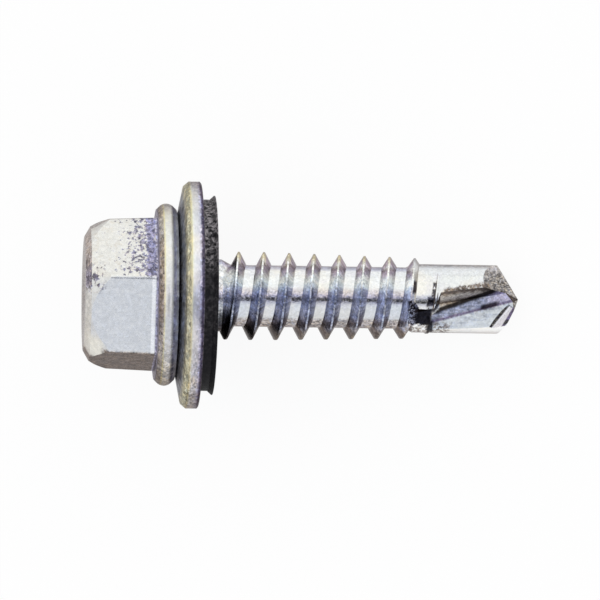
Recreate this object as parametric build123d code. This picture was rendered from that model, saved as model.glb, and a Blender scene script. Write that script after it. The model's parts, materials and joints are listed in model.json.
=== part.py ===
from build123d import *
import os
from math import ceil, cos, pi, radians, sin, tan

# A self-drilling screw, ST6.3 x 25, with a hexagon head on a round flange and
# a captive sealing washer: a dished steel washer with a rubber seal bonded
# under it. It lies on its washer's rim and on the two edges of a flute.
#
# Each piece is modelled upright first. The screw's axis is Z, the flange's
# bearing face is at Z = 0, the head is below it and the drill point above it.
# Angles go round the axis from X towards Y. laid_down() then puts the pieces
# on the floor, Z = 0, with the axis above X and the point towards +X.
# Sizes are in millimetres and angles in degrees.

# ---- head and flange ----
HEX_FLATS = 10.0          # across flats, at the flange
HEX_HEIGHT = 5.08         # from the flange's upper face to the end
HEX_DRAFT = 2.3           # the flats lean in towards the end
HEX_EDGE_RADIUS = 0.45
HEX_TURN = 17.0           # where one edge of the hexagon points
CROWN_DIAMETER = 9.13     # the crown's cone where it meets the end
CROWN_ANGLE = 30.0        # the cone's side, from the axis
CROWN_CHAMFER = 0.46      # round the end
DIMPLE_DIAMETER = 5.0     # the upsetting punch's mark in the end
DIMPLE_DEPTH = 0.25
FLANGE_DIAMETER = 13.0
FLANGE_THICKNESS = 1.42   # its rim is round, between two short cones
RIM_CONE = 45.0           # their side, from the faces

# ---- shank and thread ----
SHANK_DIAMETER = 5.15
SHANK_LENGTH = 3.3
SHANK_FOOT = 0.25         # a short cone where the shank meets the flange
ROOT_DIAMETER = 4.4
ROOT_START = 4.0
PITCH = 1.8
THREAD_DIAMETER = 6.3
THREAD_START = 3.14       # height of the crest's first point
THREAD_START_ANGLE = 280.0
THREAD_BASE = 1.08        # width of a ridge at the root
THREAD_CREST = 0.12       # width of its flat top
THREAD_TAPER = 0.024      # the crest's radius lost in each millimetre
THREAD_TAPER_START = 6.5
THREAD_SINK = 0.1         # how deep the ridge's foot is let into the core
# How far the dying crest stands over the drill's surface, a quarter turn at a time.
THREAD_FADE = (0.42, 0.16, 0.06, 0.06, -0.08)

# ---- drill point ----
LENGTH = 24.6             # from the bearing face to the tip
DRILL_DIAMETER = 4.9
DRILL_LENGTH = 7.6
DRILL_SHOULDER = 0.5      # length of the cone from the thread's core to the drill
DRILL_START = LENGTH - DRILL_LENGTH
# Each lobe ends in two ground flats: where each faces, and how far it leans
# back from square to the axis.
LIP_FLAT_ANGLES = (11.0, 32.8)
HEEL_FLAT_ANGLES = (54.9, 47.7)
# A flute's section at four distances back from the tip. It has a heel on the
# drill's surface, a valley, a crease and a margin, also on the surface. The
# valley and the crease are given by their X and Y, the others by their angle.
FLUTE_BACK = (8.0, 6.3, 5.75, -0.4)
HEEL_ANGLES = (114.0, 110.0, 79.5, 60.5)
VALLEYS = ((-1.10, 2.15), (-0.80, 1.45), (-0.39, 1.25), (0.70, 0.62))
CREASES = ((-1.35, 2.00), (-1.40, 1.15), (-1.27, 1.10), (0.03, 0.52))
MARGIN_ANGLES = (136.0, 158.0, 152.0, 134.0)
FLUTE_REACH = 2.0         # the cutter reaches this far out past the drill
# A step is ground along each lip, into the face between crease and margin.
# Its foot runs out between two points: how far back from the tip, X and Y.
STEP_FOOT = ((0.56, -0.50, 0.67), (1.93, -2.04, 1.37))
STEP_WALL_ANGLE = 45.0    # how far the wall leans back
STEP_BEHIND = 1.0         # the floor passes behind the lip's corner by this angle
STEP_REACH = 0.6          # the cutter reaches this far past the step

# ---- sealing washer ----
WASHER_DIAMETER = 16.2
WASHER_BORE = 5.7
WASHER_THICKNESS = 1.15
WASHER_FLAT = 10.8        # the flat middle, inside the dished rim
WASHER_DISH = 11.3        # the rim's slope towards the point
WASHER_EDGE = 0.3         # the chamfer round its upper edge
WASHER_BURR = 0.1         # the chamfer round its lower edge
WASHER_PLAY = 0.03        # under the flange
SEAL_DIAMETER = 13.66     # at its waist
SEAL_LIP_DIAMETER = 14.22
SEAL_BORE = 5.4
SEAL_FACE = 2.75          # the lip's height from the bearing face
SEAL_LIP_WIDTH = 1.2
SEAL_LIP_DEPTH = 0.18     # the lip stands this far out of the seal's middle
SEAL_LIP_EDGE = 0.06      # height of the lip's outer edge
SEAL_LIP_SLOPE = 0.29     # height over which the waist widens to the lip

TURN = 360.0
FAR = 12.0                # reaches past the whole drill
SMALL = 1e-4              # a step, as a share of the pitch, for directions
ROUNDS = 60               # of each search by steps


def polar(radius, angle, height=0.0):
    """The point at a radius and an angle round the axis."""
    return Vector(radius * cos(radians(angle)), radius * sin(radians(angle)), height)


def turned(outline):
    """The solid that a closed outline in the XZ plane sweeps round the axis."""
    return revolve(make_face(Plane.XZ * outline), Axis.Z)


def between(table, height):
    """The value at a height, in a table of heights and values."""
    if height <= table[0][0]:
        return table[0][1]
    for (low, at_low), (high, at_high) in zip(table, table[1:]):
        if height <= high:
            return at_low + (at_high - at_low) * (height - low) / (high - low)
    return table[-1][1]


# ---- the screw ----
def hexagon():
    """The hexagon from the flange's upper face to the end, with its crown."""
    flange_top = -FLANGE_THICKNESS
    end = flange_top - HEX_HEIGHT
    outline = RegularPolygon(HEX_FLATS / 2, 6, major_radius=False, rotation=HEX_TURN)
    outline = fillet(outline.vertices(), HEX_EDGE_RADIUS)
    prism = extrude(
        Pos(0, 0, flange_top) * outline, HEX_HEIGHT, dir=(0, 0, -1), taper=HEX_DRAFT
    )
    crown_radius = CROWN_DIAMETER / 2
    wide = crown_radius + HEX_HEIGHT * tan(radians(CROWN_ANGLE))
    profile = Polyline(
        (0, end), (crown_radius, end), (wide, flange_top), (0, flange_top), close=True
    )
    face = Plane.XZ * make_face(profile)
    corner = face.vertices().sort_by_distance(Vector(crown_radius, 0, end))[0]
    crown = revolve(chamfer(corner, CROWN_CHAMFER), Axis.Z)
    dimple = turned(
        Polyline(
            (0, end), (DIMPLE_DIAMETER / 2, end), (0, end + DIMPLE_DEPTH), close=True
        )
    )
    return (prism & crown) - dimple


def turned_blank():
    """The flange, shank, thread core and drill, before thread and flutes."""
    rim_radius = FLANGE_THICKNESS / 2
    rim = FLANGE_DIAMETER / 2
    flat = rim - rim_radius
    shank = SHANK_DIAMETER / 2
    root = ROOT_DIAMETER / 2
    drill = DRILL_DIAMETER / 2
    cone_foot = flat + rim_radius * tan(radians(RIM_CONE / 2))
    half_arc = TURN / 4 - RIM_CONE
    arc = CenterArc((flat, -rim_radius), rim_radius, -half_arc, 2 * half_arc)
    outline = arc + Polyline(
        arc @ 1,
        (cone_foot, 0),
        (shank + SHANK_FOOT, 0),
        (shank, SHANK_FOOT),
        (shank, SHANK_LENGTH),
        (root, ROOT_START),
        (root, DRILL_START - DRILL_SHOULDER),
        (drill, DRILL_START),
        (drill, LENGTH),
        (0, LENGTH),
        (0, -FLANGE_THICKNESS),
        (cone_foot, -FLANGE_THICKNESS),
        arc @ 0,
    )
    return turned(outline)


def thread_foot():
    """The radius of the ridge's foot, which is let into the core."""
    return ROOT_DIAMETER / 2 - THREAD_SINK


def crest_radii():
    """The crest's radius at its heights: it rises, tapers and dies out."""
    full = THREAD_DIAMETER / 2
    quarter = PITCH / 4
    taper_end = DRILL_START - DRILL_SHOULDER
    radii = [
        (THREAD_START, ROOT_DIAMETER / 2),
        (THREAD_START + quarter, full),
        (THREAD_TAPER_START, full),
        (taper_end, full - THREAD_TAPER * (taper_end - THREAD_TAPER_START)),
    ]
    for index, over in enumerate(THREAD_FADE):
        radii.append((DRILL_START + (index + 0.5) * quarter, DRILL_DIAMETER / 2 + over))
    return radii


def helix_edge(start, stop, share, side):
    """A quarter turn of a left-hand helix, from one height to another.

    share is 0 along the ridge's foot and 1 along its crest. side shifts the
    edge along the axis, to one side of the ridge's middle. It is a cubic
    whose ends have the helix's own directions.
    """
    radii = crest_radii()
    foot = thread_foot()
    step = PITCH * SMALL

    def point(height):
        angle = THREAD_START_ANGLE - (height - THREAD_START) / PITCH * TURN
        radius = foot + share * (between(radii, height) - foot)
        return polar(radius, angle, height + side)

    def direction(height):
        return (point(height + step) - point(height - step)) * (1 / (2 * step))

    turn = (stop - start) / PITCH * 2 * pi
    reach = 4 / 3 * tan(turn / 4) * PITCH / (2 * pi)
    first, last = point(start), point(stop)
    return Edge.make_bezier(
        first,
        first + direction(start + step) * reach,
        last - direction(stop - step) * reach,
        last,
    )


def ridge_profile():
    """The corners of the ridge's section: at the foot or crest, and the side."""
    slope = (THREAD_BASE - THREAD_CREST) / (THREAD_DIAMETER - ROOT_DIAMETER)
    at_foot = THREAD_BASE / 2 + slope * THREAD_SINK
    at_crest = THREAD_CREST / 2
    return ((0, -at_foot), (1, -at_crest), (1, at_crest), (0, at_foot))


def thread_ridge():
    """The thread's ridge: ruled strips round its section, a quarter turn at a time."""
    top = crest_radii()[-1][0]
    quarter = PITCH / 4
    count = ceil((top - THREAD_START) / quarter)
    strips = []
    ends = []
    for index in range(count):
        start = THREAD_START + index * quarter
        edges = [helix_edge(start, start + quarter, *corner) for corner in ridge_profile()]
        for one, other in zip(edges, edges[1:] + edges[:1]):
            strips.append(Face.make_surface_from_curves(one, other))
        if index == 0:
            ends.append([edge @ 0 for edge in edges])
        if index == count - 1:
            ends.append([edge @ 1 for edge in edges])
    caps = [Face(Wire.make_polygon(points, close=True)) for points in ends]
    return Solid(Shell(strips + caps))


def flute_cutter():
    """What one flute takes away: straight lines join its four sections."""
    surface = DRILL_DIAMETER / 2
    sections = []
    for back, heel, valley, crease, margin in zip(
        FLUTE_BACK, HEEL_ANGLES, VALLEYS, CREASES, MARGIN_ANGLES
    ):
        height = LENGTH - back
        heel_point = polar(surface, heel, height)
        margin_point = polar(surface, margin, height)
        valley_point = Vector(*valley, height)
        crease_point = Vector(*crease, height)
        heel_out = heel_point + (heel_point - valley_point).normalized() * FLUTE_REACH
        margin_out = margin_point + (margin_point - crease_point).normalized() * FLUTE_REACH
        top = polar(surface + FLUTE_REACH, (heel + margin) / 2, height)
        corners = [heel_out, valley_point, crease_point, margin_out, top]
        sections.append(Wire.make_polygon(corners, close=True))
    return Solid.make_loft(sections, ruled=True)


def beyond(facing, lean):
    """All that lies past a flat through the tip, which leans back."""
    slope = tan(radians(lean))
    across = polar(slope, facing)
    flat = Plane(origin=(0, 0, LENGTH), z_dir=(across.X, across.Y, 1))
    return flat * Box(2 * FAR, 2 * FAR, FAR, align=(Align.CENTER, Align.CENTER, Align.MIN))


def flat_depth(point, flat):
    """How far behind the tip a ground flat is, above a point of the section."""
    facing, lean = flat
    return tan(radians(lean)) * polar(1, facing).dot(Vector(point.X, point.Y, 0))


def flute_edge_end(angles, flat, lobe, side):
    """The point end of a flute's heel or margin edge.

    angles are the edge's at the flute's four sections. flat is the ground
    flat that ends it, and lobe is the angle that brings the edge to it. side
    is the angle that brings the edge to this flute.
    """
    heights = [(LENGTH - back, angle) for back, angle in zip(FLUTE_BACK, angles)]
    height = LENGTH
    for _ in range(ROUNDS):
        point = polar(DRILL_DIAMETER / 2, between(heights, height), height)
        height = LENGTH - flat_depth((Rot(0, 0, lobe) * Pos(point)).position, flat)
    return (Rot(0, 0, side) * Pos(point)).position


def lip_step():
    """What the step along one lip takes away: a prism that starts at its foot."""
    inner, outer = [Vector(x, y, LENGTH - back) for back, x, y in STEP_FOOT]
    corner = flute_edge_end(MARGIN_ANGLES, LIP_FLAT_ANGLES, TURN / 2, STEP_BEHIND)
    start = Plane(origin=inner, x_dir=corner - outer, z_dir=outer - inner)
    wall = STEP_REACH * tan(radians(STEP_WALL_ANGLE))
    section = Polyline(
        (0, 0), (2 * STEP_REACH, 0), (2 * STEP_REACH, STEP_REACH), (-wall, STEP_REACH), close=True
    )
    return extrude(start * make_face(section), (outer - inner).length + STEP_REACH)


def drill_cuts():
    """The flutes, the ground flats and the steps along the lips, twice."""
    cuts = [flute_cutter(), beyond(*LIP_FLAT_ANGLES), beyond(*HEEL_FLAT_ANGLES), lip_step()]
    return cuts + [Rot(0, 0, TURN / 2) * cut for cut in cuts]


def screw():
    """The head, flange, shank, thread and drill point, forged in one piece."""
    body = hexagon() + turned_blank()
    body += thread_ridge()
    for cut in drill_cuts():
        body -= cut
    return body


# ---- the sealing washer ----
def washer_level(radius):
    """How far the dish has dropped at a radius, from the washer's flat."""
    return max(0.0, radius - WASHER_FLAT / 2) * tan(radians(WASHER_DISH))


def washer_underside(radius):
    """The height of the steel's underside at a radius."""
    thick = WASHER_THICKNESS
    if radius > WASHER_FLAT / 2:
        thick /= cos(radians(WASHER_DISH))
    return WASHER_PLAY + thick + washer_level(radius)


def underside_bend():
    """The radius where the steel's underside bends."""
    return WASHER_FLAT / 2 - WASHER_THICKNESS * tan(radians(WASHER_DISH / 2))


def steel_washer():
    """The dished washer, punched from sheet."""
    bore, flat, rim = WASHER_BORE / 2, WASHER_FLAT / 2, WASHER_DIAMETER / 2
    outline = Polyline(
        (bore, WASHER_PLAY),
        (flat, WASHER_PLAY),
        (rim, WASHER_PLAY + washer_level(rim)),
        (rim, washer_underside(rim)),
        (underside_bend(), WASHER_PLAY + WASHER_THICKNESS),
        (bore, WASHER_PLAY + WASHER_THICKNESS),
        close=True,
    )
    face = Plane.XZ * make_face(outline)
    upper = face.vertices().sort_by_distance(Vector(rim, 0, 0))[0]
    face = chamfer(upper, WASHER_EDGE)
    lower = face.vertices().sort_by_distance(Vector(rim, 0, FAR))[0]
    return revolve(chamfer(lower, WASHER_BURR), Axis.Z)


def rubber_seal():
    """The seal bonded under the washer, with a raised lip round its face."""
    bore, waist, lip = SEAL_BORE / 2, SEAL_DIAMETER / 2, SEAL_LIP_DIAMETER / 2
    outline = Polyline(
        (bore, WASHER_PLAY + WASHER_THICKNESS),
        (underside_bend(), WASHER_PLAY + WASHER_THICKNESS),
        (waist, washer_underside(waist)),
        (waist, SEAL_FACE - SEAL_LIP_EDGE - SEAL_LIP_SLOPE),
        (lip, SEAL_FACE - SEAL_LIP_EDGE),
        (lip, SEAL_FACE),
        (lip - SEAL_LIP_WIDTH, SEAL_FACE),
        (lip - SEAL_LIP_WIDTH - SEAL_LIP_DEPTH, SEAL_FACE - SEAL_LIP_DEPTH),
        (bore, SEAL_FACE - SEAL_LIP_DEPTH),
        close=True,
    )
    return turned(outline)


# ---- lying on the floor ----
def resting_floor():
    """The floor's upward direction and its distance from the origin.

    It touches the washer's rim and the ends of a flute's heel and margin, so
    the direction is square to the line between those two. Of the directions
    that are, halving finds the one that brings the rim down to them.
    """
    heel = flute_edge_end(HEEL_ANGLES, HEEL_FLAT_ANGLES, 0, TURN / 2)
    margin = flute_edge_end(MARGIN_ANGLES, LIP_FLAT_ANGLES, TURN / 2, TURN / 2)
    chord = (margin - heel).normalized()
    outward = -((heel + margin) * 0.5)
    outward = Vector(outward.X, outward.Y, 0)
    flat_up = (outward - chord * outward.dot(chord)).normalized()
    lean = chord.cross(flat_up)
    rim = WASHER_DIAMETER / 2
    rim_height = washer_underside(rim) - WASHER_BURR

    def upward(angle):
        return flat_up * cos(radians(angle)) + lean * sin(radians(angle))

    def rim_gap(angle):
        up = upward(angle)
        across = Vector(up.X, up.Y, 0).length
        return up.Z * rim_height - rim * across - up.dot(heel)

    low, high = -TURN / 8, TURN / 8
    for _ in range(ROUNDS):
        middle = (low + high) / 2
        if rim_gap(low) * rim_gap(middle) <= 0:
            high = middle
        else:
            low = middle
    up = upward(low)
    return up, up.dot(heel)


def laid_down(pieces):
    """The pieces lying on Z = 0, with their footprint centred on the origin."""
    up, height = resting_floor()
    along = (Vector(0, 0, 1) - up * up.Z).normalized()
    floor = Plane(origin=up * height, x_dir=along, z_dir=up)
    lying = {name: floor.to_local_coords(piece) for name, piece in pieces.items()}
    box = Compound(list(lying.values())).bounding_box()
    shift = Pos(-box.center().X, -box.center().Y, -box.min.Z)
    return {name: shift * piece for name, piece in lying.items()}


def main():
    """Lay the pieces down and write a STEP file of each."""
    pieces = {
        "screw": screw(),
        "steel_washer": steel_washer(),
        "rubber_seal": rubber_seal(),
    }
    os.makedirs("parts", exist_ok=True)
    for name, piece in laid_down(pieces).items():
        export_step(piece, os.path.join("parts", name + ".step"))


main()
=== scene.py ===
"""A self-drilling screw lying on a white floor: its finishes, lights and camera."""
import json
import math

import bpy
from mathutils import Matrix, Vector

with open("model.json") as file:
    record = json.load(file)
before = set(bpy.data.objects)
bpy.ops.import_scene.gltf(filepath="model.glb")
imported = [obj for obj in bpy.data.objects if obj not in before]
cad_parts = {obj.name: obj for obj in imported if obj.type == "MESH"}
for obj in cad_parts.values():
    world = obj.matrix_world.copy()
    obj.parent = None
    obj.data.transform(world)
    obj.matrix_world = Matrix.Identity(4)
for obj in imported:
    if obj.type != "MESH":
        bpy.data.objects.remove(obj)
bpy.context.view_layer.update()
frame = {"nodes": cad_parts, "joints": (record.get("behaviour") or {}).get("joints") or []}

# ---- where the screw lies ----
# The washer turns on the screw's axis, so its joint gives the axis and a
# point on it. The other two of the screw's own directions are UP, towards the
# view's upper edge, and TOWARD, towards the camera.
MM = 0.001
LEAN = math.radians(3.88)     # TOWARD is this far round the axis from uppermost
JOINT_HEIGHT = 1.2            # the joint's point along the axis from the flange's bearing face
joint = frame["joints"][0]
AXIS = Vector(joint["axis"]).normalized()
uppermost = (Vector((0, 0, 1)) - AXIS * AXIS.z).normalized()
TOWARD = uppermost * math.cos(LEAN) + uppermost.cross(AXIS) * math.sin(LEAN)
UP = TOWARD.cross(AXIS)
ORIGIN = Vector(joint["pos_m"]) - AXIS * JOINT_HEIGHT * MM
TURNED = Matrix((UP, TOWARD, AXIS)).transposed().to_euler()


def on_axis(height):
    """The point of the axis at a height in mm from the bearing face."""
    return ORIGIN + AXIS * height * MM


# ---- camera ----
VIEW = 600.0                  # its width and height in pixels
PIXELS_PER_MM = 14.0
DISTANCE = 0.5
HEAD_SIDE = math.radians(3.9)  # the view comes from this far round to the head's side
ROLL = math.radians(0.83)     # the axis runs down to the right by this angle
CENTRE_HEIGHT = 8.96          # the view's middle, along the axis
CENTRE_DROP = 0.24            # and how far it is below the axis
SENSOR_WIDTH = 36.0
NEAR, FAR = 0.01, 10.0


def add_camera():
    """A long lens, straight on to the screw but for a small turn to the head's side."""
    back = (TOWARD * math.cos(HEAD_SIDE) - AXIS * math.sin(HEAD_SIDE)).normalized()
    along = (AXIS - back * AXIS.dot(back)).normalized()
    above = back.cross(along)
    right = along * math.cos(ROLL) + above * math.sin(ROLL)
    upright = back.cross(right)
    target = on_axis(CENTRE_HEIGHT) - UP * CENTRE_DROP * MM
    data = bpy.data.cameras.new("camera")
    data.sensor_width = SENSOR_WIDTH
    data.lens = SENSOR_WIDTH * DISTANCE / (VIEW / PIXELS_PER_MM * MM)
    data.clip_start, data.clip_end = NEAR, FAR
    camera = bpy.data.objects.new("camera", data)
    turned = Matrix((right, upright, back)).transposed().to_4x4()
    camera.matrix_world = Matrix.Translation(target + back * DISTANCE) @ turned
    bpy.context.collection.objects.link(camera)
    bpy.context.scene.camera = camera


# ---- node helpers ----
class Nodes:
    """The nodes of a material or a world, each linked as it is made."""

    def __init__(self, tree):
        self.tree = tree

    def put(self, value, socket):
        """Links a socket, or sets a number or a colour."""
        if isinstance(value, bpy.types.NodeSocket):
            self.tree.links.new(value, socket)
        elif isinstance(value, tuple) and len(value) == 3 and socket.type == "RGBA":
            socket.default_value = (*value, 1)
        else:
            socket.default_value = value

    def add(self, kind, inputs=None, **settings):
        """A node, with its inputs by name or number."""
        node = self.tree.nodes.new("ShaderNode" + kind)
        for key, value in settings.items():
            setattr(node, key, value)
        for key, value in (inputs or {}).items():
            self.put(value, node.inputs[key])
        return node

    def math(self, operation, first, second=0.0, third=0.0):
        inputs = {0: first, 1: second, 2: third}
        return self.add("Math", inputs, operation=operation).outputs[0]

    def plus(self, base, value, factor):
        """The base, and a value times a factor on top of it."""
        return self.math("MULTIPLY_ADD", value, factor, base)

    def minus(self, first, second):
        return self.math("SUBTRACT", first, second)

    def greater(self, first, second):
        return self.math("MAXIMUM", first, second)

    def times(self, first, *others):
        for other in others:
            first = self.math("MULTIPLY", first, other)
        return first

    def rise(self, value, low, high):
        """0 up to low, 1 from high and smooth between them, whichever is the greater."""
        inputs = {"Value": value, "From Min": low, "From Max": high}
        return self.add("MapRange", inputs, interpolation_type="SMOOTHSTEP").outputs[0]

    def band(self, value, start, stop, soft):
        """1 between start and stop, falling to 0 over a soft edge on each side."""
        rise = self.rise(value, start - soft, start + soft)
        fall = self.rise(value, stop + soft, stop - soft)
        return self.math("MULTIPLY", rise, fall)

    def noise(self, place, scale, detail=2.0, roughness=0.5):
        inputs = {"Vector": place, "Scale": scale, "Detail": detail, "Roughness": roughness}
        return self.add("TexNoise", inputs).outputs["Fac"]

    def cells(self, place, scale):
        """Cells, each with a chance colour."""
        return self.add("TexVoronoi", {"Vector": place, "Scale": scale}).outputs["Color"]

    def stretched(self, place, by):
        """The place, with each of its parts multiplied by its own number."""
        return self.add("VectorMath", {0: place, 1: by}, operation="MULTIPLY").outputs[0]

    def mix(self, share, first, second, blend="MIX"):
        node = self.add("Mix", data_type="RGBA", blend_type=blend)
        self.put(share, node.inputs[0])
        self.put(first, node.inputs[6])
        self.put(second, node.inputs[7])
        return node.outputs[2]

    def tint(self, first, second):
        """Two colours multiplied."""
        return self.mix(1.0, first, second, "MULTIPLY")

    def over(self, colour, tone, *shares):
        """A tone laid over a colour, as strongly as its shares multiplied."""
        return self.mix(self.times(*shares), colour, tone)

    def ramp(self, value, stops):
        """The colour at a value, in a table of values and colours."""
        low, high = stops[0][0], stops[-1][0]
        share = self.add("MapRange", {"Value": value, "From Min": low, "From Max": high})
        node = self.add("ValToRGB", {0: share.outputs[0]})
        elements = node.color_ramp.elements
        for index, (place, colour) in enumerate(stops):
            at = (place - low) / (high - low)
            if index < 2:
                elements[index].position = at
            else:
                elements.new(at)
            elements[index].color = (*colour, 1)
        return node.outputs[0]

    def own(self, vector, location=(0, 0, 0), scale=(1, 1, 1)):
        """A point or a direction in the screw's own axes: X is UP, Y TOWARD and Z AXIS."""
        inputs = {"Vector": vector, "Location": location, "Rotation": TURNED, "Scale": scale}
        return self.add("Mapping", inputs, vector_type="TEXTURE").outputs[0]

    def parts(self, vector):
        return self.add("SeparateXYZ", {0: vector}).outputs

    def angle(self, first, second):
        """The angle whose tangent is first over second, in degrees."""
        turn = self.math("ARCTAN2", first, second)
        return self.math("MULTIPLY", turn, 180 / math.pi)


class Finish(Nodes):
    """A material's nodes, with the places and directions that the finishes go by.

    place is in mm in the screw's own axes, and x and y are its first two parts.
    height is along the axis from the bearing face, radius from the axis, and
    round the angle from the side that lies uppermost, towards UP. outward,
    around and along are the parts of the surface's direction away from the
    axis, round it and along it.
    """

    def __init__(self, name):
        self.material = bpy.data.materials.new(name)
        self.material.use_nodes = True
        super().__init__(self.material.node_tree)
        self.shader = self.tree.nodes["Principled BSDF"]
        coordinates = self.add("TexCoord").outputs
        self.place = self.own(coordinates["Object"], ORIGIN, (MM, MM, MM))
        x, y, self.height = self.parts(self.place)
        self.x, self.y = x, y
        square = self.math("ADD", self.times(x, x), self.times(y, y))
        self.radius = self.math("SQRT", square)
        self.round = self.angle(x, y)
        nx, ny, self.along = self.parts(self.own(coordinates["Normal"]))
        outward = self.math("ADD", self.times(x, nx), self.times(y, ny))
        around = self.math("SUBTRACT", self.times(x, ny), self.times(y, nx))
        self.outward = self.math("DIVIDE", outward, self.radius)
        self.around = self.math("DIVIDE", around, self.radius)

    def metal(self):
        """Makes it metal, tarnished enough to stay dull where it is seen edge on."""
        self.shader.inputs["Metallic"].default_value = 1.0
        self.shader.inputs["Specular Tint"].default_value = (*EDGE_ON, 1)

    def done(self, colour, roughness, height, strength, deep):
        """Sets the shader. The bump is the height, deep mm from 0 to 1."""
        inputs = {"Height": height, "Strength": strength, "Distance": deep * MM}
        bump = self.add("Bump", inputs)
        self.put(colour, self.shader.inputs["Base Color"])
        self.put(roughness, self.shader.inputs["Roughness"])
        self.put(bump.outputs[0], self.shader.inputs["Normal"])
        return self.material


# ---- finishes ----
ZINC = (0.74, 0.75, 0.74)
ZINC_BLUE = (0.60, 0.65, 0.74)
ZINC_TAN = (0.74, 0.69, 0.62)
ZINC_LAVENDER = (0.66, 0.65, 0.73)
WHITE = (1.0, 1.0, 1.0)
EDGE_ON = (0.58, 0.55, 0.54)
# painted shade where the shape closes in
CLOSE_SHADE = (0.03, 0.03, 0.04)
# black for painted shadow
SHADOW_BLACK = (0.012, 0.012, 0.016)
SPECK = (0.16, 0.15, 0.26)

# Tones by the angle round the axis, from the side that lies uppermost: painted light and shade,
# darkest where the flats face the floor. The hexagon's six flats each have their own; so have the
# crown's.
FLATS_LIGHT_AND_SHADE = (
    (-180, (0.64, 0.64, 0.66)),
    (-168, (0.64, 0.64, 0.66)),
    (-166, (0.52, 0.54, 0.58)),
    (-108, (0.52, 0.54, 0.58)),
    (-106, (0.18, 0.15, 0.13)),
    (-48, (0.18, 0.15, 0.13)),
    (-46, (0.69, 0.71, 0.72)),
    (12, (0.69, 0.71, 0.72)),
    (14, (0.78, 0.78, 0.75)),
    (72, (0.78, 0.78, 0.75)),
    (74, (0.52, 0.50, 0.48)),
    (132, (0.52, 0.50, 0.48)),
    (134, (0.64, 0.64, 0.66)),
    (180, (0.64, 0.64, 0.66)),
)
CROWN_LIGHT_AND_SHADE = (
    (-180, (0.64, 0.63, 0.62)),
    (-110, (0.50, 0.49, 0.48)),
    (-95, (0.20, 0.165, 0.14)),
    (-68, (0.24, 0.20, 0.17)),
    (-60, (0.78, 0.77, 0.72)),
    (-42, (0.72, 0.69, 0.63)),
    (-32, (0.65, 0.63, 0.59)),
    (2, (0.63, 0.62, 0.59)),
    (8, (0.34, 0.31, 0.35)),
    (16, (0.32, 0.29, 0.34)),
    (26, (0.36, 0.32, 0.31)),
    (36, (0.43, 0.38, 0.35)),
    (50, (0.54, 0.49, 0.46)),
    (80, (0.55, 0.50, 0.47)),
    (130, (0.54, 0.51, 0.49)),
    (180, (0.64, 0.63, 0.62)),
)

# What the plating is multiplied by, on the flange's rim and the washer's edge, on the thread's
# root, and on the drill: painted light and shade by the angle round the axis, with painted
# highlights where it passes 1.
RIM_LIGHT_AND_SHADE = (
    (-180, (0.92, 0.92, 0.94)),
    (-125, (0.80, 0.79, 0.80)),
    (-100, (0.45, 0.41, 0.37)),
    (-64, (0.51, 0.47, 0.43)),
    (-44, (0.70, 0.67, 0.66)),
    (-25, (0.84, 0.83, 0.85)),
    (0, (0.88, 0.87, 0.91)),
    (22, (1.0, 1.0, 1.0)),
    (58, (1.0, 1.0, 0.98)),
    (78, (0.66, 0.62, 0.60)),
    (104, (0.62, 0.58, 0.56)),
    (130, (0.90, 0.90, 0.92)),
    (180, (0.92, 0.92, 0.94)),
)
ROOT_LIGHT_AND_SHADE = (
    (-180, (0.92, 0.92, 0.94)),
    (-120, (0.80, 0.80, 0.82)),
    (-104, (0.56, 0.51, 0.48)),
    (-50, (0.58, 0.54, 0.53)),
    (-42, (0.94, 0.96, 0.97)),
    (-16, (1.02, 1.03, 1.03)),
    (2, (0.74, 0.68, 0.70)),
    (11, (0.88, 0.82, 0.82)),
    (19, (1.10, 1.10, 1.08)),
    (42, (1.10, 1.10, 1.08)),
    (47, (1.26, 1.26, 1.23)),
    (55, (1.26, 1.26, 1.23)),
    (64, (0.88, 0.88, 1.0)),
    (88, (0.60, 0.59, 0.70)),
    (120, (0.90, 0.90, 0.92)),
    (180, (0.92, 0.92, 0.94)),
)
DRILL_LIGHT_AND_SHADE = (
    (-180, (0.92, 0.92, 0.94)),
    (-112, (0.88, 0.88, 0.90)),
    (-86, (1.2, 1.2, 1.18)),
    (-76, (1.42, 1.42, 1.40)),
    (-46, (1.40, 1.40, 1.38)),
    (-5, (1.06, 1.06, 1.04)),
    (42, (1.06, 1.06, 1.03)),
    (47, (1.22, 1.22, 1.19)),
    (60, (1.16, 1.16, 1.15)),
    (70, (0.80, 0.80, 0.82)),
    (92, (0.30, 0.30, 0.30)),
    (120, (0.88, 0.88, 0.90)),
    (180, (0.92, 0.92, 0.94)),
)

# The thread's flanks and its crest: painted light and shade by the angle round the axis, tinted
# blue and tan.
FLANK_LIGHT_AND_SHADE = (
    (-180, (0.58, 0.60, 0.68)),
    (-115, (0.44, 0.43, 0.46)),
    (-95, (0.10, 0.08, 0.065)),
    (-62, (0.15, 0.125, 0.115)),
    (-50, (0.46, 0.48, 0.58)),
    (-8, (0.52, 0.56, 0.70)),
    (12, (0.62, 0.68, 0.83)),
    (24, (0.92, 0.98, 1.0)),
    (48, (0.98, 1.0, 1.0)),
    (60, (0.52, 0.45, 0.56)),
    (95, (0.24, 0.18, 0.20)),
    (120, (0.56, 0.56, 0.60)),
    (180, (0.58, 0.60, 0.68)),
)
CREST_LIGHT_AND_SHADE = (
    (-180, (0.62, 0.62, 0.64)),
    (-100, (0.22, 0.19, 0.13)),
    (-60, (0.20, 0.17, 0.14)),
    (-46, (0.24, 0.26, 0.34)),
    (10, (0.30, 0.34, 0.44)),
    (26, (0.76, 0.82, 0.83)),
    (50, (0.86, 0.87, 0.81)),
    (64, (0.84, 0.76, 0.46)),
    (100, (0.56, 0.48, 0.28)),
    (180, (0.62, 0.62, 0.64)),
)
# Three lines along each flute: between its wall and its web, between its web and its rake face,
# and on the step's wall, where its painted shade ends. Each is X at one height, and what it gains
# a mm.
FLUTE_MIDDLE = 18.85
VALLEY = (-0.88, 0.364)
CREASE = (-1.52, 0.268)
STEP_LINE = (-6.46, 1.21)
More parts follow.
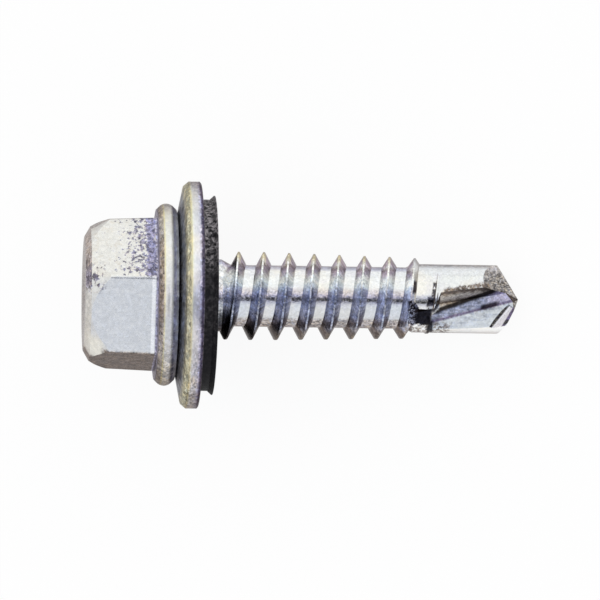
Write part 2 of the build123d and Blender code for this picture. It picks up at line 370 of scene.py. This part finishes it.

# A flute's wall, from its valley out to its rim: by the radius, made ragged. Its dark brown ends
# and cream middle are painted light and shade.
FLUTE_WALL = (
    (1.92, (0.26, 0.215, 0.17)),
    (2.12, (0.60, 0.53, 0.43)),
    (2.56, (1.02, 0.95, 0.82)),
    (2.84, (0.66, 0.58, 0.48)),
    (2.98, (0.22, 0.18, 0.145)),
    (3.40, (0.18, 0.145, 0.12)),
)

# What the plating is multiplied by, by the height: painted light and shade. The flange's rim is
# tan to the head's side, then has a cream line, white and violet. The washer's edge has a cream
# line at its corner, then white, lavender and violet.
FLANGE_RIM_LIGHT_AND_SHADE = (
    (-1.42, (0.36, 0.34, 0.42)),
    (-1.30, (0.60, 0.56, 0.51)),
    (-1.08, (0.72, 0.67, 0.61)),
    (-1.00, (1.10, 1.02, 0.64)),
    (-0.92, (1.10, 1.09, 1.00)),
    (-0.42, (1.10, 1.10, 1.10)),
    (-0.30, (0.78, 0.76, 0.96)),
    (-0.12, (1.55, 1.55, 1.70)),
    (0.0, (1.65, 1.65, 1.75)),
)
WASHER_EDGE_LIGHT_AND_SHADE = (
    (0.74, (0.84, 0.78, 0.58)),
    (0.82, (1.05, 1.00, 0.66)),
    (0.92, (1.12, 1.11, 0.98)),
    (1.00, (1.04, 1.03, 1.02)),
    (1.30, (0.96, 0.95, 1.00)),
    (1.46, (0.74, 0.72, 0.88)),
    (1.56, (0.17, 0.15, 0.23)),
    (1.76, (0.08, 0.07, 0.10)),
)

# Heights from the bearing face, in mm.
HEAD_FOOT = (-1.38, -1.46)    # across the hexagon's foot
FOOT_STRIP_END = -1.60        # the flange's side of the strips on the flats' foot
CROWN_START = -5.0
THREAD_START = 3.0
THREAD_END = 17.25
POINT_START = 17.0

# The flats' corners, in degrees round the axis.
LIGHTEST_FLAT = (13, 73)
FRONT_FLAT = (-47, 13)
CORNER_SOFT = 1.5

# The head's and the flange's stains and lights.
END_FACE = (0.50, 0.48, 0.46)
FLAT_STAIN = (0.66, 0.60, 0.50)
FOOT_DARK_BLUE = (0.27, 0.27, 0.42)
FOOT_HIGHLIGHT = (0.96, 0.97, 0.97)
FOOT_SHADE_LINE = (0.42, 0.41, 0.52)
CORNER_LIGHT = (0.80, 0.79, 0.73)
CROWN_MARK = (0.09, 0.08, 0.15)
SLOPE_SHADE = (0.72, 0.66, 0.62)

# The drill's.
GROUND_DARK = (0.13, 0.125, 0.125)
GROUND_LIGHT = (0.50, 0.475, 0.44)
GROUND_OUTER = (0.80, 0.76, 0.75)
END_SHADE_LINE = (0.06, 0.045, 0.04)
MARGIN = (0.21, 0.17, 0.14)
WEB_DARK = (0.23, 0.25, 0.325)
WEB_LIGHT = (0.40, 0.43, 0.55)
WEB_TIP = (0.48, 0.46, 0.60)
RAKE_DARK = (0.46, 0.50, 0.57)
RAKE_LIGHT = (0.60, 0.64, 0.68)
WALL_SPECK = (0.16, 0.13, 0.11)
WALL_TIP_SHADE = (0.035, 0.028, 0.024)
VALLEY_SHADE = (0.012, 0.010, 0.010)
CREASE_SHADE = (0.15, 0.12, 0.21)
BLOT = (0.014, 0.010, 0.016)
STEP_WALL_SHADE = (0.10, 0.10, 0.09)
STEP_WALL_SHADE_SPECK = (0.02, 0.018, 0.025)
STEP_WALL_PAINTED_LIGHT = (0.74, 0.74, 0.80)
STEP_FLOOR_HIGHLIGHT = (0.94, 0.93, 0.96)
STEP_RIM_SHADE = (0.24, 0.19, 0.33)
STEP_RIM_DEEP_SHADE = (0.02, 0.02, 0.025)
HOLLOW_PATCH = (0.26, 0.28, 0.36)
LOW_BROWN = (0.13, 0.10, 0.075)
ARC = (0.022, 0.018, 0.026)

# The washer's dish and the rubber.
DISH_SHADE = (0.29, 0.31, 0.335)
DISH_OLIVE = (0.47, 0.455, 0.335)
RUBBER = (0.009, 0.009, 0.011)
RUBBER_GREY = (0.46, 0.43, 0.45)
RUBBER_CELLS = 7.0            # cells to a mm

# Two noises of the plating's: the scale, the detail and the roughness.
GRAIN = (5.5, 2.0, 0.7)
BLOTS = (2.1, 3.0, 0.65)

# The plating's grains: how many to a mm, what the large ones count for, how
# far they spread towards the axis, and their tones.
SMALL_GRAINS = 9.0
LARGE_GRAINS = 3.6
LARGE_SHARE = 0.45
GRAIN_SPREAD = 0.35
GRAIN_BLUE = (0.86, 0.95, 1.16)
GRAIN_TAN = (1.14, 1.02, 0.85)
GRAIN_TONES = (
    (0.1, (0.15, 0.15, 0.17)),
    (0.5, (0.92, 0.92, 0.92)),
    (0.9, (1.90, 1.90, 1.90)),
)
SHADE_REACH = 1.2             # how near another surface is, in mm, where the painted shade falls


def plating(f):
    """The zinc's own colour: drifts of blue, tan and lavender."""
    drift = f.noise(f.place, 0.33, 3.0)
    patch = f.noise(f.place, 1.1, 3.0, 0.6)
    colour = f.mix(f.rise(drift, 0.42, 0.60), ZINC_BLUE, ZINC_TAN)
    colour = f.mix(0.7, colour, ZINC)
    return f.over(colour, ZINC_LAVENDER, f.rise(patch, 0.5, 0.72), 0.4)


def ringed(f, size):
    """The place moved to one radius, for grain a little longer towards the axis than across."""
    share = f.math("DIVIDE", size, f.radius)
    along = f.plus(f.height, f.radius, GRAIN_SPREAD)
    parts = {0: f.times(f.x, share), 1: f.times(f.y, share), 2: along}
    return f.add("CombineXYZ", parts).outputs[0]


def grained(f, colour, place, least, most):
    """Grains in two sizes, which stand out most where the colour is dark."""
    lightness = f.add("RGBToBW", {0: colour}).outputs[0]
    depth = f.plus(least, f.rise(lightness, 0.72, 0.34), f.minus(most, least))
    cells = f.mix(LARGE_SHARE, f.cells(place, SMALL_GRAINS), f.cells(place, LARGE_GRAINS))
    tone, warmth, _ = f.add("SeparateColor", {0: cells}).outputs
    grain = f.tint(f.ramp(tone, GRAIN_TONES), f.mix(warmth, GRAIN_BLUE, GRAIN_TAN))
    return f.tint(colour, f.mix(depth, WHITE, grain))


def uneven(f, grain):
    """The plating's height for the bump: fine grain and broader dents."""
    return f.math("ADD", grain, f.times(f.noise(f.place, 1.9), 1.8))


def past_line(f, x, line):
    """How far X is past a line along a flute, in mm."""
    start, gain = line
    return f.minus(x, f.plus(start, f.minus(f.height, FLUTE_MIDDLE), gain))


def head_colour(f, colour, blots, on_head):
    """The hexagon's flats, with specks on the lightest, and its crown, both with painted light
    and shade round the axis.
    """
    # painted light and shade, flat by flat
    flats = f.ramp(f.round, FLATS_LIGHT_AND_SHADE)
    lightest = f.band(f.round, *LIGHTEST_FLAT, CORNER_SOFT)
    front = f.band(f.round, *FRONT_FLAT, CORNER_SOFT)
    threshold = f.plus(0.645, f.rise(f.height, -5.2, -1.9), -0.22)
    spots = f.noise(f.place, 3.6, 3.0, 0.65)
    specks = f.rise(spots, threshold, f.math("ADD", threshold, 0.07))
    flats = f.over(flats, SPECK, lightest, specks, 0.8)
    flats = f.over(flats, FLAT_STAIN, lightest, f.rise(blots, 0.50, 0.66), 0.35)

    # their foot: a ragged dark blue strip on the lightest, and a painted highlight on the front
    ragged = f.plus(f.minus(f.height, 0.45), blots, 0.9)
    flats = f.over(flats, FOOT_DARK_BLUE, lightest, f.band(ragged, -2.15, -1.56, 0.08), 0.85)
    flats = f.over(flats, FOOT_HIGHLIGHT, front, f.band(f.height, -1.86, FOOT_STRIP_END, 0.04), 0.85)
    # a line of painted shade where the flats meet the flange
    flats = f.over(flats, FOOT_SHADE_LINE, f.rise(f.height, FOOT_STRIP_END, -1.52))
    colour = f.over(colour, flats, on_head)

    # the crown round the end face, with a light corner and a few dark marks
    # the crown's painted light and shade round the axis
    face = f.mix(f.rise(f.radius, 4.1, 3.3), f.ramp(f.round, CROWN_LIGHT_AND_SHADE), END_FACE)
    on_face = f.times(f.rise(f.along, -0.60, -0.75), f.rise(f.height, CROWN_START, -5.4))
    colour = f.over(colour, face, on_face)
    on_crown = f.times(f.rise(f.height, CROWN_START, -5.45), f.rise(f.radius, 4.3, 4.7))
    corner = f.times(on_crown, f.rise(f.along, -0.25, -0.40), f.band(f.round, -64, -38, 4))
    colour = f.over(colour, CORNER_LIGHT, corner)
    marks = f.times(on_crown, f.rise(blots, 0.46, 0.58), f.band(f.round, 2, 25, 4))
    return f.over(colour, CROWN_MARK, marks, 0.85)


def thread_colour(f, colour):
    """Blue flanks and a paler crest in painted light and shade, and painted shadow where the
    thread starts under the seal.
    """
    on_thread = f.band(f.height, THREAD_START, THREAD_END, 0.1)
    slope = f.rise(f.math("ABSOLUTE", f.along), 0.35, 0.6)
    flank = f.times(on_thread, slope, f.rise(f.radius, 2.12, 2.3))
    # painted light and shade on the flanks and the crest
    colour = f.over(colour, f.ramp(f.round, FLANK_LIGHT_AND_SHADE), flank, 0.95)
    crest = f.times(on_thread, f.rise(f.radius, 2.78, 3.0))
    colour = f.over(colour, f.ramp(f.round, CREST_LIGHT_AND_SHADE), crest, 0.8)
    # painted shadow on the first turns' lower side, next to the seal
    start = f.times(f.rise(f.height, 4.3, 3.6), 26)
    below = f.band(f.minus(f.round, start), -110, -52, 12)
    shadowed_start = f.times(on_thread, below, f.rise(f.radius, 2.3, 2.6), f.rise(f.height, 8.6, 5.6))
    return f.over(colour, SHADOW_BLACK, shadowed_start, 0.92)


def ground_ends(f, colour, x, turn):
    """The ends ground on the point: scratched, lighter towards their outer edge, with a line of
    painted shade near the axis.
    """
    ground = f.times(f.rise(f.along, 0.45, 0.6), f.rise(f.height, 21.0, 21.6))
    streaks = f.noise(f.stretched(f.place, (11.0, 3.0, 3.0)), 1.0, 3.0, 0.7)
    tone = f.mix(f.rise(streaks, 0.38, 0.62), GROUND_DARK, GROUND_LIGHT)
    tone = f.over(tone, GROUND_OUTER, f.rise(x, 1.5, 2.3), 0.5)
    colour = f.over(colour, tone, ground)
    # a line of painted shade near the axis
    end_shade = f.times(ground, f.band(turn, -20, 36, 5), f.rise(f.radius, 1.7, 1.1))
    return f.over(colour, END_SHADE_LINE, end_shade, 0.85)


def wall_margin(f, colour, turn, blots, speckle):
    """A brown margin above the flutes' walls, wider towards the tip."""
    edge = f.plus(f.plus(turn, f.height, -4.6), blots, 12.0)
    margin = f.times(f.rise(edge, -62, -68), f.rise(turn, 5, 10))
    margin = f.times(margin, f.band(f.height, 19.0, 22.4, 0.3))
    return f.over(colour, MARGIN, margin, f.rise(speckle, -0.9, 0.9))


def flute_face(f, x, blots, speckle):
    """A flute's faces: a speckled wall in painted light and shade, a blue web and a bright rake
    face, with painted shade along the valley and the crease.
    """
    drawn = f.noise(f.stretched(f.place, (4.5, 4.5, 1.0)), 1.0, 3.0, 0.6)
    streaks = f.rise(drawn, 0.36, 0.64)
    web = f.mix(streaks, WEB_DARK, WEB_LIGHT)
    web = f.mix(f.rise(f.height, 21.8, 23.2), web, WEB_TIP)
    rake = f.mix(streaks, RAKE_DARK, RAKE_LIGHT)
    depth = f.plus(f.plus(f.radius, drawn, 0.5), blots, 1.1)
    wall = f.ramp(f.plus(depth, f.rise(f.height, 21.2, 22.2), 0.35), FLUTE_WALL)
    wall = f.over(wall, WALL_SPECK, speckle, 0.40)
    # painted shade on the wall towards the tip
    wall = f.over(wall, WALL_TIP_SHADE, f.rise(f.height, 21.6, 22.8), 0.85)

    past_valley, past_crease = past_line(f, x, VALLEY), past_line(f, x, CREASE)
    face = f.mix(f.rise(past_valley, -0.07, 0.07), web, wall)
    face = f.mix(f.rise(past_crease, 0.08, -0.08), face, rake)
    # painted shade along the valley
    valley_shade = f.times(f.rise(past_valley, -0.26, 0.0), f.rise(past_valley, 0.34, 0.16))
    face = f.over(face, VALLEY_SHADE, valley_shade, f.rise(f.height, 23.3, 22.6), 0.95)
    # painted shade along the crease
    face = f.over(face, CREASE_SHADE, f.band(past_crease, -0.09, 0.11, 0.08), 0.85)
    blot = f.times(f.band(past_crease, -0.06, 0.28, 0.10), f.band(f.height, 21.75, 23.15, 0.3))
    return f.over(face, BLOT, blot, 0.95)


def lip_step(f, colour, x, speckle):
    """The step at the lip, in painted light and shade: black on its wall but light past a line,
    and white with a violet edge on its floor.
    """
    at_step = f.times(f.rise(f.height, 22.2, 22.4), f.rise(f.around, -0.5, -0.7))
    # painted shade on the step's wall, with painted light past a line
    wall = f.mix(speckle, STEP_WALL_SHADE, STEP_WALL_SHADE_SPECK)
    wall = f.mix(f.rise(past_line(f, x, STEP_LINE), -0.02, -0.22), wall, STEP_WALL_PAINTED_LIGHT)
    colour = f.over(colour, wall, at_step, f.band(f.along, 0.22, 0.40, 0.06))
    # painted highlight on the step's floor, with a violet edge of painted shade
    rim = f.rise(f.plus(f.height, f.radius, 0.58), 24.66, 24.76)
    rim_tone = f.mix(f.band(f.radius, 1.95, 2.35, 0.1), STEP_RIM_SHADE, STEP_RIM_DEEP_SHADE)
    on_floor = f.times(at_step, f.rise(f.along, -0.15, -0.25))
    colour = f.over(colour, f.over(STEP_FLOOR_HIGHLIGHT, rim_tone, rim, 0.9), on_floor)
    return colour, on_floor


def run_out(f, colour, x, turn, blots):
    """Where a flute runs out: a hollow of painted shadow with a tail, and dark brown patches
    below it.
    """
    # painted shadow in the hollow, with a few lighter patches
    top = f.plus(-0.12, f.rise(f.height, 16.7, 17.5), -0.62)
    ragged = f.plus(f.minus(x, 0.35), blots, 0.7)
    within = f.times(f.rise(f.minus(ragged, top), 0.06, -0.06), f.rise(ragged, -1.95, -1.8))
    hollow = f.times(f.band(f.height, 16.5, 18.3, 0.1), within)
    spots = f.rise(f.noise(f.place, 5.0, 2.0, 0.6), 0.46, 0.60)
    patches = f.times(spots, f.rise(f.height, 17.3, 16.8))
    colour = f.over(colour, f.mix(patches, SHADOW_BLACK, HOLLOW_PATCH), hollow)
    # dark brown patches on the lower side
    lower = f.times(f.band(turn, -86, -57, 3), f.band(f.height, 16.3, 19.6, 0.3))
    brown_spots = f.rise(f.noise(f.place, 4.8, 2.0, 0.6), 0.42, 0.56)
    colour = f.over(colour, LOW_BROWN, lower, brown_spots, 0.85)
    # painted shadow along the tail
    tail = f.times(f.band(f.height, 17.98, 18.42, 0.1), f.rise(x, -1.5, -1.7))
    return f.over(colour, SHADOW_BLACK, tail, 0.95)


def dark_arcs(f, colour, x, turn, speckle):
    """Painted shade: the dark arcs of the thread's last turns and of the flute's end."""
    first = f.times(f.band(f.height, 16.72, 17.12, 0.05), f.rise(f.along, 0.3, 0.6))
    first = f.times(first, f.band(x, 0.35, 1.25, 0.15))
    bowed = f.plus(f.height, turn, -0.006)
    second = f.times(f.band(bowed, 18.14, 18.40, 0.06), f.band(x, -0.5, 1.15, 0.12))
    second = f.times(second, f.rise(speckle, -0.5, 0.6))
    broad = f.times(f.band(bowed, 17.90, 18.42, 0.08), f.band(x, -0.6, 0.15, 0.15))
    end = f.times(f.rise(f.along, 0.30, 0.45), f.band(f.height, 18.2, 19.4, 0.1))
    end = f.times(end, f.rise(x, 0.5, 0.2))
    arcs = f.greater(f.greater(first, second), f.greater(broad, end))
    return f.over(colour, ARC, arcs, 0.94)


def drill_colour(f, colour, zinc, blots):
    """The ground point: its colour, where a flute's faces are and where the step's floor is.

    The point is the same on both sides of the axis, so x and the angle turn
    are those of the side that lies uppermost.
    """
    side = f.math("SIGN", f.y)
    x, y = f.times(f.x, side), f.times(f.y, side)
    turn = f.angle(x, y)
    speckle = f.rise(f.noise(f.place, 6.5, 2.0, 0.6), 0.40, 0.54)
    on_drill = f.rise(f.height, 16.85, POINT_START)
    # painted light and shade round the axis on the drill
    colour = f.over(colour, f.tint(zinc, f.ramp(f.round, DRILL_LIGHT_AND_SHADE)), on_drill)
    colour = ground_ends(f, colour, x, turn)
    colour = wall_margin(f, colour, turn, blots, speckle)
    cut_in = f.greater(f.rise(f.outward, 0.95, 0.88), f.rise(f.radius, 1.9, 1.7))
    in_flute = f.times(f.rise(f.height, 18.10, 18.25), f.rise(f.along, 0.4, 0.3), cut_in)
    colour = f.over(colour, flute_face(f, x, blots, speckle), in_flute)
    colour, on_step = lip_step(f, colour, x, speckle)
    colour = run_out(f, colour, x, turn, blots)
    colour = dark_arcs(f, colour, x, turn, speckle)
    return colour, in_flute, on_step


def screw_finish():
    """Zinc plating on the head, the thread and the drill."""
    f = Finish("zinc plated steel")
    grain = f.noise(f.place, *GRAIN)
    blots = f.noise(f.place, *BLOTS)
    zinc = plating(f)
    on_shank = f.rise(f.height, -0.05, 0.1)
    # painted light and shade round the axis, on the flange's rim and on the thread's root
    sides = f.mix(on_shank, f.ramp(f.round, RIM_LIGHT_AND_SHADE), f.ramp(f.round, ROOT_LIGHT_AND_SHADE))
    colour = f.tint(zinc, sides)

    # the flange: painted light and shade in bands on its rim, and a little darker on its slope
    on_rim = f.times(f.rise(f.height, -1.47, -1.40), f.rise(f.height, 0.1, 0.0))
    colour = f.over(colour, f.tint(colour, f.ramp(f.height, FLANGE_RIM_LIGHT_AND_SHADE)), on_rim)
    slope = f.times(on_rim, f.rise(f.along, -0.4, -0.6), f.band(f.round, -28, 40, 12))
    colour = f.over(colour, f.tint(colour, SLOPE_SHADE), slope)

    on_head = f.rise(f.height, *HEAD_FOOT)
    colour = head_colour(f, colour, blots, on_head)
    colour = thread_colour(f, colour)
    colour, in_flute, on_step = drill_colour(f, colour, zinc, blots)

    # painted shade where the shape closes in
    reach = {"Distance": SHADE_REACH * MM}
    open_air = f.add("AmbientOcclusion", reach, samples=12, only_local=True).outputs["AO"]
    closed = f.rise(open_air, 0.45, 0.05)
    colour = f.over(colour, CLOSE_SHADE, closed, f.plus(1.0, in_flute, -0.75))

    # grain, strongest on the thread and weakest in the flutes
    on_ring = f.band(f.height, -1.40, POINT_START, 0.05)
    place = f.mix(on_ring, f.place, ringed(f, f.plus(6.2, on_shank, -3.6)))
    on_thread = f.band(f.height, THREAD_START, POINT_START, 0.1)
    on_thread = f.times(on_thread, f.rise(f.radius, 2.25, 2.4))
    least = f.plus(f.plus(0.10, in_flute, -0.07), on_thread, 0.30)
    most = f.plus(0.75, in_flute, -0.25)
    colour = grained(f, colour, place, least, most)

    rough = f.plus(0.06, grain, 0.16)
    duller = ((on_head, 0.14), (on_rim, 0.22), (on_thread, 0.10), (in_flute, 0.2), (on_step, 0.5))
    for share, gain in duller:
        rough = f.plus(rough, share, gain)
    f.metal()
    return f.done(colour, rough, uneven(f, grain), strength=0.5, deep=0.02)


def washer_finish():
    """Zinc plating on the washer's dish and its edge."""
    f = Finish("zinc plated washer")
    grain = f.noise(f.place, *GRAIN)
    blots = f.noise(f.place, *BLOTS)
    zinc = plating(f)
    # painted light and shade round the axis
    sides = f.ramp(f.round, RIM_LIGHT_AND_SHADE)
    colour = f.tint(zinc, sides)

    # the dish: olive at its edge, and dark beside the flange, as painted shade
    dish = f.rise(f.along, -0.3, -0.55)
    level = f.rise(f.plus(f.radius, blots, 0.8), 7.3, 8.1)
    colour = f.over(colour, f.mix(level, DISH_SHADE, DISH_OLIVE), dish)

    # the edge: painted light and shade in bands by the height
    on_edge = f.times(f.rise(f.radius, 7.95, 8.03), f.rise(f.height, 0.72, 0.80))
    edge = f.tint(zinc, f.tint(sides, f.ramp(f.height, WASHER_EDGE_LIGHT_AND_SHADE)))
    colour = f.over(colour, edge, on_edge)
    colour = grained(f, colour, ringed(f, 5.0), 0.12, 0.75)
    rough = f.plus(f.plus(0.24, dish, 0.10), grain, 0.18)
    f.metal()
    return f.done(colour, rough, uneven(f, grain), strength=0.4, deep=0.02)


def rubber_finish():
    """Black rubber with a dull, mottled skin, greyest on its upper side."""
    f = Finish("seal rubber")
    grain = f.noise(f.place, 4.0, 3.0, 0.6)
    spots = f.parts(f.cells(f.place, RUBBER_CELLS))[0]
    mottle = f.times(f.rise(f.noise(f.place, 3.0, 2.0), 0.30, 0.60), spots)
    on_side = f.rise(f.outward, 0.2, 0.7)
    upward = f.math("DIVIDE", f.x, f.radius)
    # greyer towards the upper side, darker towards the lower
    upper_grey = f.times(on_side, f.rise(upward, 0.14, 0.56))
    lower_darker = f.plus(-0.20, f.rise(upward, 0.1, -0.9), -0.09)
    grey = f.plus(f.plus(0.30, on_side, lower_darker), upper_grey, 0.76)
    colour = f.mix(f.times(mottle, grey), RUBBER, RUBBER_GREY)
    rough = f.plus(0.55, grain, 0.25)
    f.shader.inputs["Specular IOR Level"].default_value = 0.15
    return f.done(colour, rough, grain, strength=0.5, deep=0.05)


def paint(node, material):
    """Gives a CAD node's object one material."""
    slots = frame["nodes"][node].data.materials
    slots.clear()
    slots.append(material)


paint("screw", screw_finish())
paint("steel_washer", washer_finish())
paint("rubber_seal", rubber_finish())


# ---- floor and light ----
FLOOR_HALF = 1.5
FLOOR_WHITE = (0.95, 0.95, 0.95)
FLOOR_ROUGHNESS = 0.9
FLOOR_GLOW = 0.90             # how much of what is seen of the floor is plain white

# The studio round the screw, by the angle from TOWARD to UP: a broad light on
# the one side, a dark gap for the camera, and a dimmer light on the other.
STUDIO = (
    (-180, (0.95, 0.94, 0.94)),
    (-92, (0.95, 0.94, 0.94)),
    (-84, (0.97, 0.97, 1.0)),
    (-60, (0.95, 0.96, 1.0)),
    (-34, (0.92, 0.94, 0.99)),
    (-25, (0.74, 0.76, 0.86)),
    (-19, (0.46, 0.48, 0.64)),
    (-16, (0.004, 0.004, 0.008)),
    (-6, (0.004, 0.004, 0.008)),
    (2, (0.70, 0.74, 0.96)),
    (13, (1.17, 1.17, 1.15)),
    (112, (1.17, 1.17, 1.15)),
    (126, (1.05, 1.05, 1.05)),
    (180, (0.95, 0.94, 0.94)),
)

# Towards its ends the studio has no dark gap.
OPEN_STUDIO = tuple((place, colour) for place, colour in STUDIO if not -26 < place < 3)

# What the studio's light is multiplied by, from the head's end to the tip's.
STUDIO_ENDS = (
    (-1.0, (0.90, 0.88, 0.86)),
    (-0.75, (0.90, 0.88, 0.86)),
    (-0.55, (1.0, 1.0, 1.0)),
    (0.80, (1.0, 1.0, 1.0)),
    (0.95, (0.80, 0.78, 0.82)),
    (1.0, (0.80, 0.78, 0.82)),
)


def add_floor():
    """A white floor, of which what is seen is part plain white and part lit, to keep a shadow."""
    mesh = bpy.data.meshes.new("floor")
    h = FLOOR_HALF
    mesh.from_pydata([(-h, -h, 0), (h, -h, 0), (h, h, 0), (-h, h, 0)], [], [(0, 1, 2, 3)])
    floor = bpy.data.objects.new("floor", mesh)
    bpy.context.collection.objects.link(floor)
    material = bpy.data.materials.new("white floor")
    material.use_nodes = True
    n = Nodes(material.node_tree)
    shader = n.tree.nodes["Principled BSDF"]
    shader.inputs["Base Color"].default_value = (*FLOOR_WHITE, 1)
    shader.inputs["Roughness"].default_value = FLOOR_ROUGHNESS
    path = n.add("LightPath").outputs
    seen = n.greater(path["Is Camera Ray"], path["Is Glossy Ray"])
    seen = n.greater(seen, path["Is Transmission Ray"])
    glow = n.add("Emission", {"Color": WHITE, "Strength": 1.0})
    shaders = {0: n.times(seen, FLOOR_GLOW), 1: shader.outputs[0], 2: glow.outputs[0]}
    mixer = n.add("MixShader", shaders)
    n.put(mixer.outputs[0], n.tree.nodes["Material Output"].inputs["Surface"])
    mesh.materials.append(material)


def add_world():
    """The studio's light. It dims towards the screw's two ends."""
    world = bpy.data.worlds.new("studio")
    world.use_nodes = True
    bpy.context.scene.world = world
    n = Nodes(world.node_tree)
    direction = n.own(n.add("TexCoord").outputs["Generated"])
    up, toward, along = n.parts(direction)
    turn = n.angle(up, toward)
    to_end = n.rise(n.math("ABSOLUTE", along), 0.12, 0.24)
    colour = n.mix(to_end, n.ramp(turn, STUDIO), n.ramp(turn, OPEN_STUDIO))
    background = world.node_tree.nodes["Background"]
    n.put(n.tint(colour, n.ramp(along, STUDIO_ENDS)), background.inputs["Color"])
    background.inputs["Strength"].default_value = 1.0


add_floor()
add_world()
add_camera()

bpy.context.scene.view_settings.view_transform = "Standard"
